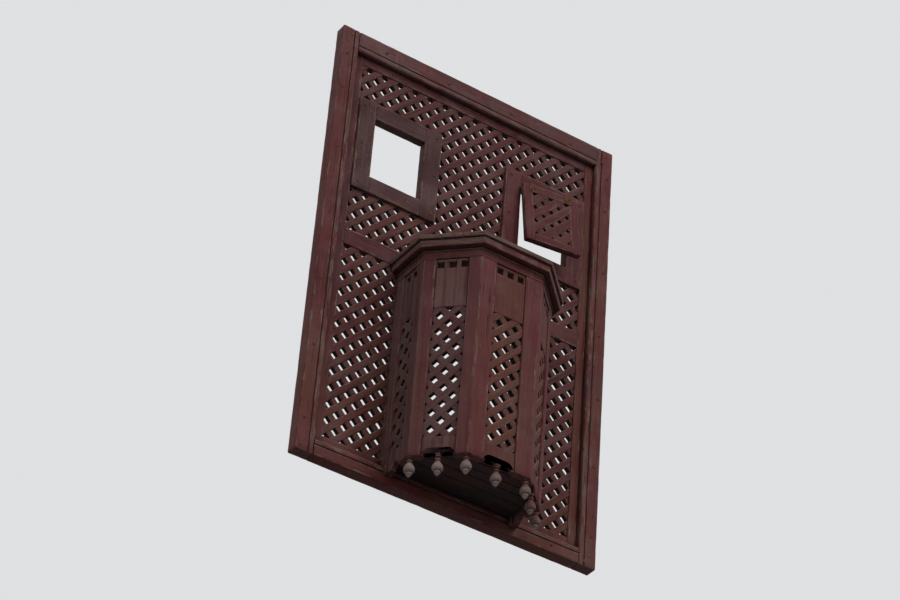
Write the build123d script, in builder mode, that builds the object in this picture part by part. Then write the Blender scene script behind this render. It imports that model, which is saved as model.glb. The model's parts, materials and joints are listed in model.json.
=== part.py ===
"""Wooden mashrabiya screen: a framed diagonal lattice with two hatches and a small projecting bay.

Millimetres, +Z up, +X to the right along the wall, +Y into the wall. The back faces lie at Y = 0.
The origin is the middle of the bottom rail's back face, which is nailed to the wall.
"""
from build123d import *
from math import ceil, cos, pi, radians, sin, sqrt
import os

# Outer frame, which stands proud of the wall
panel_width = 1050
frame_depth = 42
stile_width = 62
head_rail_height = 76
bottom_rail_height = 56
frame_bead_radius = 9
tenon_length = 34
tenon_thickness = 14
tenon_shoulder = 12
joint_gap = 0.3

# Inner frame, set back behind the outer one, which holds the lattice
sash_width = 32
sash_depth = 24
mid_rail_height = 60
mid_rail_level = 785
sash_chamfer = 4
jamb_width = 32

# Lattice of diagonal bars
lattice_pitch = 40.7
lattice_bar = 20
lattice_thickness = 18
lattice_setback = 3
lattice_rim = 8
least_hole_share = 0.25

# Hatches in the upper part, and the heights of the lattice below and above them
hatch_width = 184
hatch_height = 230
hatch_board = 62
hatch_frame_depth = 30
waist_height = 161
crown_height = 132

# The flap that is left, hung from its top edge and standing a little open
flap_lap = 6
flap_thickness = 20
flap_bar = 32
flap_open_angle = 7
flap_twist_angle = 6
flap_sag_angle = 2
flap_standoff = 3
hinge_radius = 5
hinge_length = 30
hinge_inset = 34
staple_width = 9

# Projecting bay, half of an octagon drawn out at the sides, with levels above the frame's bottom edge
bay_width = 466
bay_side_depth = 148
bay_cant = 125
bay_wall = 28
bay_post_face = 38
bay_front_post_face = 54
bay_apron_level = 26
bay_lattice_level = 90
bay_board_level = 548
bay_cornice_level = 726
bay_board_thickness = 20
bay_board_setback = 4
peep_hole = 22
peep_hole_pitch = 34
peep_hole_drop = 86
peep_hole_margin = 5
arch_radius = 19
arch_tooth = 12
cornice_height = 55
cornice_reach = 24
cornice_fascia = 24
roof_thickness = 16
roof_reach = 8
floor_thickness = 20

# Turned drops under the bay: radii, and lengths from the neck down
drop_neck_radius = 7
drop_belly_radius = 17
drop_tip_radius = 4
drop_neck_length = 12
drop_flare_length = 24
drop_belly_length = 15
drop_tip_length = 15
drop_sides = 12

# Places that follow from the sizes
bottom = -bottom_rail_height / 2
inner_x = panel_width / 2 - stile_width
inner_bottom = bottom + bottom_rail_height
field_x = inner_x - sash_width
field_bottom = inner_bottom + sash_width
mid_bottom = bottom + mid_rail_level
mid_top = mid_bottom + mid_rail_height
hatch_frame_bottom = mid_top + waist_height
hatch_bottom = hatch_frame_bottom + hatch_board
hatch_top = hatch_bottom + hatch_height
hatch_frame_top = hatch_top + hatch_board
field_top = hatch_frame_top + crown_height
inner_top = field_top + sash_width
top = inner_top + head_rail_height
hatch_frame_width = hatch_width + 2 * hatch_board
hatch_x = field_x - hatch_frame_width / 2
between_x = field_x - hatch_frame_width
bay_x = bay_width / 2
opening_x = bay_x - jamb_width
lattice_y = -sash_depth + lattice_setback + lattice_thickness / 2

apron_z = bottom + bay_apron_level
bay_lattice_z = bottom + bay_lattice_level
bay_board_z = bottom + bay_board_level
cornice_z = bottom + bay_cornice_level
bay_top_z = cornice_z + cornice_height

os.makedirs("parts", exist_ok=True)


def keep(piece, name):
    """Label a finished piece and write it to its file."""
    piece.part.label = name
    export_step(piece.part, f"parts/{name}.step")


def block(x0, x1, y0, y1, z0, z1, soften=0):
    """A squared timber between six faces, its front arrises softened."""
    with BuildPart() as timber:
        with BuildSketch(Plane.XY.offset(z0)):
            with Locations(((x0 + x1) / 2, (y0 + y1) / 2)):
                Rectangle(x1 - x0, y1 - y0)
        extrude(amount=z1 - z0)
        if soften:
            front = timber.faces().sort_by(Axis.Y)[0]
            chamfer(front.edges(), soften)
    return timber


def together(*pieces):
    """Like pieces that don't touch and share a file."""
    with BuildPart() as group:
        add([piece.part for piece in pieces])
    return group


def lattice(face, width, height):
    """Diagonal bars fused where they cross, in a rim that fills the opening of their frame.

    A hole that the rim would cut to less than its least share stays solid.
    """
    step = lattice_pitch * sqrt(2)
    hole = lattice_pitch - lattice_bar
    columns = ceil(width / step) + 1
    rows = ceil(height / step) + 1
    with BuildSketch(Plane.XY) as holes:
        with GridLocations(step, step, columns, rows):
            Rectangle(hole, hole, rotation=45)
        with GridLocations(step, step, columns + 1, rows + 1):
            Rectangle(hole, hole, rotation=45)
        Rectangle(width - 2 * lattice_rim, height - 2 * lattice_rim, mode=Mode.INTERSECT)
    large_holes = [f for f in holes.faces() if f.area > least_hole_share * hole ** 2]
    with BuildPart() as field:
        with BuildSketch(face):
            Rectangle(width, height)
            add(large_holes, mode=Mode.SUBTRACT)
        extrude(amount=lattice_thickness / 2, both=True)
    return field


def wall_lattice(x0, x1, z0, z1):
    """A field of lattice in the plane of the inner frame."""
    middle = ((x0 + x1) / 2, lattice_y, (z0 + z1) / 2)
    return lattice(Plane(origin=middle, x_dir=(1, 0, 0), z_dir=(0, -1, 0)), x1 - x0, z1 - z0)


# Outer frame: the stiles run through, and the rails are tenoned into them
frame_rails = {
    "head_rail": (inner_top, top),
    "bottom_rail": (bottom, inner_bottom),
}
tenon_y = -frame_depth / 2

for name, side in (("stile_left", -1), ("stile_right", 1)):
    inner_face = Plane(origin=(side * inner_x, tenon_y, 0), x_dir=(0, 1, 0), z_dir=(side, 0, 0))
    with BuildPart() as stile:
        with BuildSketch(Plane.XY.offset(bottom)):
            with Locations((side * (inner_x + stile_width / 2), -frame_depth / 2)):
                Rectangle(stile_width, frame_depth)
        extrude(amount=top - bottom)
        front_edges = stile.edges().filter_by(Axis.Z).group_by(Axis.Y)[0].sort_by(Axis.X)
        fillet(front_edges[0 if side > 0 else -1], frame_bead_radius)
        with BuildSketch(inner_face):
            for low, high in frame_rails.values():
                mortise_height = high - low - 2 * tenon_shoulder + 2 * joint_gap
                with Locations((0, side * (low + high) / 2)):
                    Rectangle(tenon_thickness + 2 * joint_gap, mortise_height)
        extrude(amount=tenon_length + joint_gap, mode=Mode.SUBTRACT)
    keep(stile, name)

for name, (low, high) in frame_rails.items():
    with BuildPart() as rail:
        with BuildSketch(Plane.YZ.offset(-inner_x)):
            with Locations((-frame_depth / 2, (low + high) / 2)):
                Rectangle(frame_depth, high - low)
        extrude(amount=2 * inner_x)
        front_edges = rail.edges().filter_by(Axis.X).group_by(Axis.Y)[0].sort_by(Axis.Z)
        fillet(front_edges[0 if name == "head_rail" else -1], frame_bead_radius)
        with BuildSketch(Plane.YZ.offset(-inner_x - tenon_length)):
            with Locations((tenon_y, (low + high) / 2)):
                Rectangle(tenon_thickness, high - low - 2 * tenon_shoulder)
        extrude(amount=2 * (inner_x + tenon_length))
    keep(rail, name)

# Inner frame round the lattice, with a rail across above the bay and jambs beside it
for name, side in (("left", -1), ("right", 1)):
    low_x, high_x = sorted((side * field_x, side * inner_x))
    keep(block(low_x, high_x, -sash_depth, 0, inner_bottom, inner_top, sash_chamfer), f"sash_stile_{name}")
    low_x, high_x = sorted((side * bay_x, side * field_x))
    keep(block(low_x, high_x, -sash_depth, 0, inner_bottom, field_bottom, sash_chamfer), f"sash_sill_{name}")
    keep(wall_lattice(low_x, high_x, field_bottom, mid_bottom), f"lattice_{name}")
    low_x, high_x = sorted((side * opening_x, side * bay_x))
    keep(block(low_x, high_x, -sash_depth, 0, inner_bottom, mid_bottom), f"bay_jamb_{name}")
keep(block(-field_x, field_x, -sash_depth, 0, field_top, inner_top, sash_chamfer), "sash_head")
keep(block(-field_x, field_x, -sash_depth, 0, mid_bottom, mid_top, sash_chamfer), "mid_rail")

# Lattice over the whole width above the hatches and below them, and between the two
keep(wall_lattice(-field_x, field_x, hatch_frame_top, field_top), "lattice_top")
keep(wall_lattice(-between_x, between_x, hatch_frame_bottom, hatch_frame_top), "lattice_between_hatches")
keep(wall_lattice(-field_x, field_x, mid_top, hatch_frame_bottom), "lattice_waist")

# Hatch frames of broad boards, the upright ones running through
for name, side in (("left", -1), ("right", 1)):
    low_x = side * hatch_x - hatch_width / 2
    high_x = side * hatch_x + hatch_width / 2
    stiles = [
        block(x, x + hatch_board, -hatch_frame_depth, 0, hatch_frame_bottom, hatch_frame_top, sash_chamfer)
        for x in (low_x - hatch_board, high_x)
    ]
    keep(together(*stiles), f"hatch_stiles_{name}")
    rails = [
        block(low_x, high_x, -hatch_frame_depth, 0, z, z + hatch_board, sash_chamfer)
        for z in (hatch_frame_bottom, hatch_top)
    ]
    keep(together(*rails), f"hatch_rails_{name}")

# The flap hangs crooked: turned out at the bottom, twisted out at its right and down at its left
flap_width = hatch_width + 2 * flap_lap
flap_height = hatch_height + 2 * flap_lap
twist, tilt, sag = (radians(a) for a in (flap_twist_angle, flap_open_angle, flap_sag_angle))
across = Vector(cos(twist), -sin(twist), 0)
outward = Vector(-sin(twist), -cos(twist), 0) * cos(tilt) + Vector(0, 0, 1) * sin(tilt)
upward = outward.cross(across)
flap_x_dir = across * cos(sag) + upward * sin(sag)
flap_corner = Vector(
    hatch_x - hatch_width / 2 - flap_lap,
    -hatch_frame_depth - flap_standoff,
    hatch_top + flap_lap,
)
flap_plane = Plane(origin=flap_corner, x_dir=flap_x_dir, z_dir=outward)
flap_middle = flap_plane.from_local_coords(Vector(flap_width / 2, -flap_height / 2, 0))
flap_face = Plane(origin=flap_middle, x_dir=flap_x_dir, z_dir=outward)

flap_field_width = flap_width - 2 * flap_bar
flap_field_height = flap_height - 2 * flap_bar

with BuildPart() as flap_stiles:
    with BuildSketch(flap_face):
        with GridLocations(flap_field_width + flap_bar, 0, 2, 1):
            Rectangle(flap_bar, flap_height)
    extrude(amount=flap_thickness)
keep(flap_stiles, "flap_stiles")

with BuildPart() as flap_rails:
    with BuildSketch(flap_face):
        with GridLocations(0, flap_field_height + flap_bar, 1, 2):
            Rectangle(flap_field_width, flap_bar)
    extrude(amount=flap_thickness)
keep(flap_rails, "flap_rails")

keep(lattice(flap_face.offset(flap_thickness / 2), flap_field_width, flap_field_height), "flap_lattice")

# Its two hinges: a knuckle along the top edge, carried by a staple driven into the hatch frame
with BuildPart() as hinges:
    for place in (hinge_inset, flap_width - hinge_inset):
        local = Vector(place - hinge_length / 2, hinge_radius + joint_gap, hinge_radius)
        knuckle = flap_plane.from_local_coords(local)
        with BuildSketch(Plane(origin=knuckle, x_dir=outward, z_dir=flap_x_dir)):
            Circle(hinge_radius)
        extrude(amount=hinge_length)
        centre = flap_plane.from_local_coords(local + Vector(hinge_length / 2, 0, 0))
        with BuildSketch(Plane.XZ.offset(hatch_frame_depth)):
            with Locations((centre.X, centre.Z)):
                Rectangle(staple_width, hinge_radius)
        extrude(amount=-centre.Y - hatch_frame_depth)
keep(hinges, "flap_hinges")

# Plan of the bay: the outer faces of its five sides, from the left end to the right end
bay_front_y = -sash_depth - bay_side_depth - bay_cant
bay_shoulder_y = -sash_depth - bay_side_depth
bay_front_x = bay_x - bay_cant
plan = [
    Vector(-bay_x, -sash_depth),
    Vector(-bay_x, bay_shoulder_y),
    Vector(-bay_front_x, bay_front_y),
    Vector(bay_front_x, bay_front_y),
    Vector(bay_x, bay_shoulder_y),
    Vector(bay_x, -sash_depth),
]
side_names = ("left_side", "left_cant", "front", "right_cant", "right_side")
along = [(b - a).normalized() for a, b in zip(plan, plan[1:])]
inward = [Vector(-u.Y, u.X) for u in along]
post_faces = (bay_post_face, bay_post_face, bay_front_post_face, bay_post_face, bay_post_face)


def corner_inside(i, depth):
    """The point that lies the given depth inside corner i of the plan."""
    if i == 0:
        return plan[0] + inward[0] * depth
    if i == len(plan) - 1:
        return plan[-1] + inward[-1] * depth
    return plan[i] + (inward[i - 1] + inward[i]) * (depth / (1 + inward[i - 1].dot(inward[i])))


def outline(depth):
    """The plan moved inwards by the given depth, or outwards where it is negative, shut along the wall."""
    return [corner_inside(i, depth) for i in range(len(plan))]


def plate(low, high, low_depth, high_depth):
    """A level board in the shape of the plan, which may splay from one outline to a wider one."""
    with BuildPart() as board:
        for level, depth in ((low, low_depth), (high, high_depth)):
            with BuildSketch(Plane.XY.offset(level)):
                with BuildLine():
                    Polyline(*outline(depth), close=True)
                make_face()
        loft(ruled=True)
    return board


# Posts at the ends and at the four corners of the bay
post_names = ("left_wall", "left_corner", "left_front", "right_front", "right_corner", "right_wall")
for i, name in enumerate(post_names):
    points = []
    if i > 0:
        points.append(plan[i] - along[i - 1] * post_faces[i - 1])
    points.append(plan[i])
    if i < len(plan) - 1:
        points.append(plan[i] + along[i] * post_faces[i])
        points.append(points[-1] + inward[i] * bay_wall)
    points.append(corner_inside(i, bay_wall))
    if i > 0:
        points.append(points[0] + inward[i - 1] * bay_wall)
    with BuildPart() as post:
        with BuildSketch(Plane.XY.offset(apron_z)):
            with BuildLine():
                Polyline(*points, close=True)
            make_face()
        extrude(amount=cornice_z - apron_z)
        with BuildSketch(Plane.XY.offset(apron_z)):
            with Locations((0, -frame_depth / 2)):
                Rectangle(bay_width, frame_depth + 2 * joint_gap)
        extrude(amount=inner_bottom - apron_z, mode=Mode.SUBTRACT)
    keep(post, f"bay_post_{name}")

# Between the posts: a scalloped apron, a field of lattice and a board with small square holes
aprons = []
boards = []
teeth = []
for i, name in enumerate(side_names):
    start = plan[i] + along[i] * post_faces[i]
    end = plan[i + 1] - along[i] * post_faces[i]
    clear = (end - start).length
    middle = (start + end) * 0.5
    outer = inward[i] * -1

    field = middle + inward[i] * (bay_wall / 2)
    field_z = (bay_lattice_z + bay_board_z) / 2
    face = Plane(origin=(field.X, field.Y, field_z), x_dir=along[i], z_dir=outer)
    keep(lattice(face, clear, bay_board_z - bay_lattice_z), f"bay_lattice_{name}")

    skin = middle + inward[i] * bay_board_setback
    arches = max(1, int(clear / (2 * arch_radius + arch_tooth)))
    arch_pitch = clear / arches
    with BuildPart() as apron:
        height = bay_lattice_z - apron_z
        with BuildSketch(Plane(origin=(skin.X, skin.Y, apron_z + height / 2), x_dir=along[i], z_dir=outer)):
            Rectangle(clear, height)
            with Locations((0, -height / 2)):
                with GridLocations(arch_pitch, 0, arches, 1):
                    Circle(arch_radius, mode=Mode.SUBTRACT)
        extrude(amount=-bay_board_thickness)
    aprons.append(apron)
    teeth += [start + along[i] * (arch_pitch * k) + inward[i] * (bay_wall / 2) for k in range(1, arches)]

    holes = int((clear - peep_hole - 2 * peep_hole_margin) / peep_hole_pitch) + 1
    with BuildPart() as board:
        height = cornice_z - bay_board_z
        board_face = Plane(origin=(skin.X, skin.Y, bay_board_z + height / 2), x_dir=along[i], z_dir=outer)
        with BuildSketch(board_face):
            Rectangle(clear, height)
            with Locations((0, height / 2 - peep_hole_drop)):
                with GridLocations(peep_hole_pitch, 0, holes, 1):
                    Rectangle(peep_hole, peep_hole, mode=Mode.SUBTRACT)
        extrude(amount=-bay_board_thickness)
    boards.append(board)

keep(together(*aprons), "bay_aprons")
keep(together(*boards), "bay_top_boards")

# Floor of the bay, which rests on the bottom rail, and the cornice and roof board over it
with BuildPart() as floor:
    with BuildSketch(Plane.XY.offset(inner_bottom)):
        with BuildLine():
            Polyline(*outline(bay_wall), close=True)
        make_face()
        with Locations((0, -sash_depth / 2)):
            Rectangle(2 * opening_x, sash_depth)
    extrude(amount=floor_thickness)
keep(floor, "bay_floor")

with BuildPart() as cornice:
    add(plate(cornice_z, bay_top_z - cornice_fascia, 0, -cornice_reach).part)
    add(plate(bay_top_z - cornice_fascia, bay_top_z, -cornice_reach, -cornice_reach).part)
keep(cornice, "bay_cornice")
roof_edge = -cornice_reach - roof_reach
keep(plate(bay_top_z, bay_top_z + roof_thickness, roof_edge, roof_edge), "bay_roof")


def drop(place):
    """A turned drop that hangs from the underside of the apron, its round made of flat sides."""
    flat = cos(pi / drop_sides)
    neck_end = Plane.XY.offset(apron_z - drop_neck_length)
    body_length = drop_flare_length + drop_belly_length + drop_tip_length
    with BuildPart() as body:
        with BuildSketch(neck_end):
            with Locations((place.X, place.Y)):
                RegularPolygon(drop_belly_radius, drop_sides)
        extrude(amount=-body_length)
        ends = body.faces().filter_by(Axis.Z).sort_by(Axis.Z)
        shapes = (
            (ends[-1], drop_neck_radius, drop_flare_length),
            (ends[0], drop_tip_radius, drop_tip_length),
        )
        for end, radius, length in shapes:
            inset = (drop_belly_radius - radius) * flat
            chamfer(end.edges(), length=inset, length2=length, reference=end)
        with BuildSketch(neck_end):
            with Locations((place.X, place.Y)):
                RegularPolygon(drop_neck_radius, drop_sides)
        extrude(amount=drop_neck_length)
    return body


# Drops under the corners, and under the teeth between the arches
keep(together(*[drop(corner_inside(i, bay_wall / 2)) for i in range(1, len(plan) - 1)]), "bay_corner_drops")
keep(together(*[drop(tooth) for tooth in teeth]), "bay_middle_drops")
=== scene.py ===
"""Looks of a weathered wooden mashrabiya screen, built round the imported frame.

Metres, in the frame's own axes: +X to the right along the wall, +Z up, street side towards -Y.
"""
import json
import random
from math import ceil, cos, pi, radians, sin, sqrt

import bpy
import bmesh
from mathutils import Matrix, Vector, noise

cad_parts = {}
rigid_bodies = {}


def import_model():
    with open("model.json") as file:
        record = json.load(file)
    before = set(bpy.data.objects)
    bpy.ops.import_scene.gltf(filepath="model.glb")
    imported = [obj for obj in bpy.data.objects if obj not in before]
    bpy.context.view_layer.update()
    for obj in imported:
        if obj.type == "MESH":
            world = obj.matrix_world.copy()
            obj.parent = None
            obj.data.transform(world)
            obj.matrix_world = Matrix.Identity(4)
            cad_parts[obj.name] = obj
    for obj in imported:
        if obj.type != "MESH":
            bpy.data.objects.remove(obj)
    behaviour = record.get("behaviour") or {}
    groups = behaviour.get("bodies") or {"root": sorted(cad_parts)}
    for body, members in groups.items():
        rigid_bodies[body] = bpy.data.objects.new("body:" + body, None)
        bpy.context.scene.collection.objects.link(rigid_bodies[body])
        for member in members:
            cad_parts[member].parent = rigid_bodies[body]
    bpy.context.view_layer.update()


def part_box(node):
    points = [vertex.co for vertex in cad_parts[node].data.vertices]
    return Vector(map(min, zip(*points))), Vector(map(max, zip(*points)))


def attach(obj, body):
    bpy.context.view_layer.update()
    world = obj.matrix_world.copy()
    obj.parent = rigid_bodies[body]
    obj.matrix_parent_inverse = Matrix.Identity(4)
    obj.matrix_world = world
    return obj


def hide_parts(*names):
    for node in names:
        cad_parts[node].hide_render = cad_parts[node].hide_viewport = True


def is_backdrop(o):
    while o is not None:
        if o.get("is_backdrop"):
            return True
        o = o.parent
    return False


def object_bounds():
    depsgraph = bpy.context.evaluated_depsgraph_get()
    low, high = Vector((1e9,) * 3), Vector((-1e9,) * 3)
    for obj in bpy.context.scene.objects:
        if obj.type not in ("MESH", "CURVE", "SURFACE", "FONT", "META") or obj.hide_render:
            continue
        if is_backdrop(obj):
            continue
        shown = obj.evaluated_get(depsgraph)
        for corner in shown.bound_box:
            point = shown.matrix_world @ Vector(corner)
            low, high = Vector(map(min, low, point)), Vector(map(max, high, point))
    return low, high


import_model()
random.seed(7)

RIGHT, INTO, OUT, UP, DOWN = (1, 0, 0), (0, 1, 0), (0, -1, 0), (0, 0, 1), (0, 0, -1)

# Timber: arrises, the supports beside them, and how far wear moves a surface
ARRIS = 0.0022
SOFT_ARRIS = 0.004
BACK_ARRIS = 0.001
SUPPORT = 0.006
SUPPORT_SHARE = 0.4
ROUNDED = 0.005
CORNER_SHARE = 0.45
END_SLOPE = 0.7
STATION_STEP = 0.024
FLAT_STEP = 0.03
FLAT_WEAR = 0.0004
EDGE_WEAR = 0.0013

# Waves and lumps of hand-planed wood, as repeats in a metre across and along the grain
TIMBER_WAVES, TIMBER_LUMPS = (30, 30, 6), (60, 60, 38)
LATH_WAVES, LATH_LUMPS = (25, 25, 14), (90, 90, 60)
BOARD_WAVES = (20, 20, 9)
CORNICE_WAVES, CORNICE_LUMPS = (9, 9, 7), (40, 40, 30)

# Lattice of flat laths, with the pitch and thickness of the lattice in the frame
LATTICE_PITCH = 0.0407
LATTICE_THICKNESS = 0.018
LATH_WIDTH = 0.0212
LATH_STEP_BACK = 0.002
LATH_SEAT = 0.012
LATH_STEP = 0.012

# How unevenly the laths were cut and set, and how they swell and wear
LATH_CUT = (0.97, 1.03)
LATH_LEAN = 0.0006
LATH_STAND = 0.0008
LATH_STRAY = 0.0007
LATH_SWELL = 0.02
LATH_CHIP = 0.05
LATH_WAVE = 0.0003
LATH_WEAR = 0.0012

# The flap, hung from its top edge
FLAP_OPEN = radians(7)
FLAP_TWIST = radians(6)
FLAP_SAG = radians(2)
FLAP_LAP = 0.006
FLAP_STANDOFF = 0.003
FLAP_THICKNESS = 0.020
FLAP_BAR = 0.032
FLAP_ARRIS = 0.003
FLAP_LATH_WIDTH = 0.029


def tone(red, green, blue):
    """A colour read off in 0 to 255 steps, as the linear colour that a shader takes."""
    def linear(step):
        c = step / 255
        return c / 12.92 if c <= 0.04045 else ((c + 0.055) / 1.055) ** 2.4
    return (linear(red), linear(green), linear(blue), 1.0)


class Value:
    """A number that a material works out, so that sums on it read as Python."""

    def __init__(self, finish, socket):
        self.finish = finish
        self.socket = socket

    def sum(self, operation, *values):
        return self.finish.node("ShaderNodeMath", {"operation": operation}, *values)

    def __add__(self, other):
        return self.sum("ADD", self, other)

    def __sub__(self, other):
        return self.sum("SUBTRACT", self, other)

    def __rsub__(self, other):
        return self.sum("SUBTRACT", other, self)

    def __mul__(self, other):
        return self.sum("MULTIPLY", self, other)

    __radd__ = __add__
    __rmul__ = __mul__

    def size(self):
        """The number without its sign."""
        return self.sum("ABSOLUTE", self)

    def held(self):
        """The number, kept between 0 and 1."""
        return self.finish.node("ShaderNodeClamp", {}, self)

    def rise(self, low, high):
        """0 below low, 1 above high, and a smooth slope between."""
        settings = {"interpolation_type": "SMOOTHSTEP"}
        return self.finish.node("ShaderNodeMapRange", settings, self, low, high)


class Finish:
    """A material or a surround that is put together node by node."""

    def __init__(self, owner, colour=None):
        self.owner = owner
        self.colour = colour
        owner.use_nodes = True
        self.nodes = owner.node_tree.nodes
        self.links = owner.node_tree.links

    def feed(self, socket, value):
        if isinstance(value, Value):
            self.links.new(value.socket, socket)
        elif socket.type == "VECTOR" and not hasattr(value, "__len__"):
            socket.default_value = (value, value, value)
        else:
            socket.default_value = value

    def feed_named(self, node, values):
        for name, value in values.items():
            self.feed(node.inputs[name.replace("_", " ")], value)

    def node(self, kind, settings, *values, output=0, **named):
        """A node with its settings made first, then its inputs, in order or by name."""
        made = self.nodes.new(kind)
        for key, setting in settings.items():
            setattr(made, key, setting)
        for socket, value in zip([s for s in made.inputs if s.enabled], values):
            self.feed(socket, value)
        self.feed_named(made, named)
        return Value(self, made.outputs[output])

    def attribute(self, name, output="Fac"):
        return self.node("ShaderNodeAttribute", {"attribute_name": name}, output=output)

    def place(self):
        return self.node("ShaderNodeTexCoord", {}, output="Object")

    def stretch(self, vector, scale):
        return self.node("ShaderNodeVectorMath", {"operation": "MULTIPLY"}, vector, scale)

    def shift(self, vector, offset):
        return self.node("ShaderNodeVectorMath", {"operation": "ADD"}, vector, offset)

    def noise(self, vector, scale, detail, roughness=0.55):
        return self.node("ShaderNodeTexNoise", {}, Vector=vector, Scale=scale, Detail=detail,
                         Roughness=roughness)

    def blend(self, share, first, second):
        """The first colour, turned into the second by a share from 0 to 1."""
        return self.node("ShaderNodeMix", {"data_type": "RGBA"}, share, first, second, output=2)

    def coat(self, colour, share):
        """Lays a colour over the finish so far, by a share from 0 to 1."""
        self.colour = self.blend(share, self.colour, colour)

    def part_of(self, vector, axis):
        """One part of a vector, as a number."""
        return self.node("ShaderNodeSeparateXYZ", {}, vector, output=axis)

    def facing(self, axis):
        """How far the surface faces along an axis of the frame, from -1 to 1."""
        return self.part_of(self.node("ShaderNodeNewGeometry", {}, output="Normal"), axis)

    def hollow(self, distance):
        """1 in the open, less in corners and holes."""
        return self.node("ShaderNodeAmbientOcclusion", {"samples": 8}, Distance=distance,
                         output="AO")

    def seen(self):
        """1 where a thing is seen, straight or in gloss or glass, and 0 where it lights others."""
        camera, gloss, glass = (
            self.node("ShaderNodeLightPath", {}, output=f"Is {ray} Ray")
            for ray in ("Camera", "Glossy", "Transmission"))
        return (camera + gloss + glass).held()

    def bump(self, height, strength, distance):
        return self.node("ShaderNodeBump", {}, Height=height, Strength=strength, Distance=distance)

    def finish(self, **values):
        """The material, with its shader's sockets fed by name."""
        values = {"Base_Color": self.colour, "Specular_IOR_Level": 0.1, **values}
        self.feed_named(self.nodes["Principled BSDF"], values)
        return self.owner


MAROON = (75, 29, 31)
ROSE = (90, 45, 47)
WARM_BROWN = tone(82, 46, 36)
GREY_BROWN = tone(74, 58, 56)
UNDERCOAT = tone(106, 70, 68)
BARE_WOOD = tone(110, 87, 78)
OLD_WOOD = tone(60, 43, 37)
DUST = tone(110, 88, 86)
# Dark grime for brush marks and cracks, also used as painted shade in hollows and grooves
GRIME_AND_SHADE = tone(17, 8, 9)
# Pale bleached wood, also used as a painted highlight on the drops
BLEACH_AND_HIGHLIGHT = tone(132, 119, 113)
# Tones of painted shade for faces that look left
LEFT_SHADE_DARK, LEFT_SHADE_PALE = tone(62, 47, 45), tone(94, 75, 72)
# Tone of painted shade for the left canted faces
CANT_SHADE_GREY = tone(100, 81, 79)
ROOM_SIDE_DARK, ROOM_SIDE_PALE = tone(48, 35, 29), tone(92, 70, 57)

# Patterns in the paint, as repeats in a metre across and along the grain
FIBRE, BRUSH, STREAK = (430, 430, 13), (190, 190, 7), (80, 80, 3)
CHIP, SPLIT, RUN = (70, 70, 16), (95, 95, 1.7), (48, 48, 1.8)

# Offsets that keep the patches of different kinds apart
WARM_PATCHES, GREY_PATCHES = (3.1, 7.7, 1.9), (9.3, 2.2, 5.1)
DRY_PATCHES, PALE_PATCHES = (5.5, 1.1, 8.2), (1.7, 4.4, 6.9)


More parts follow.
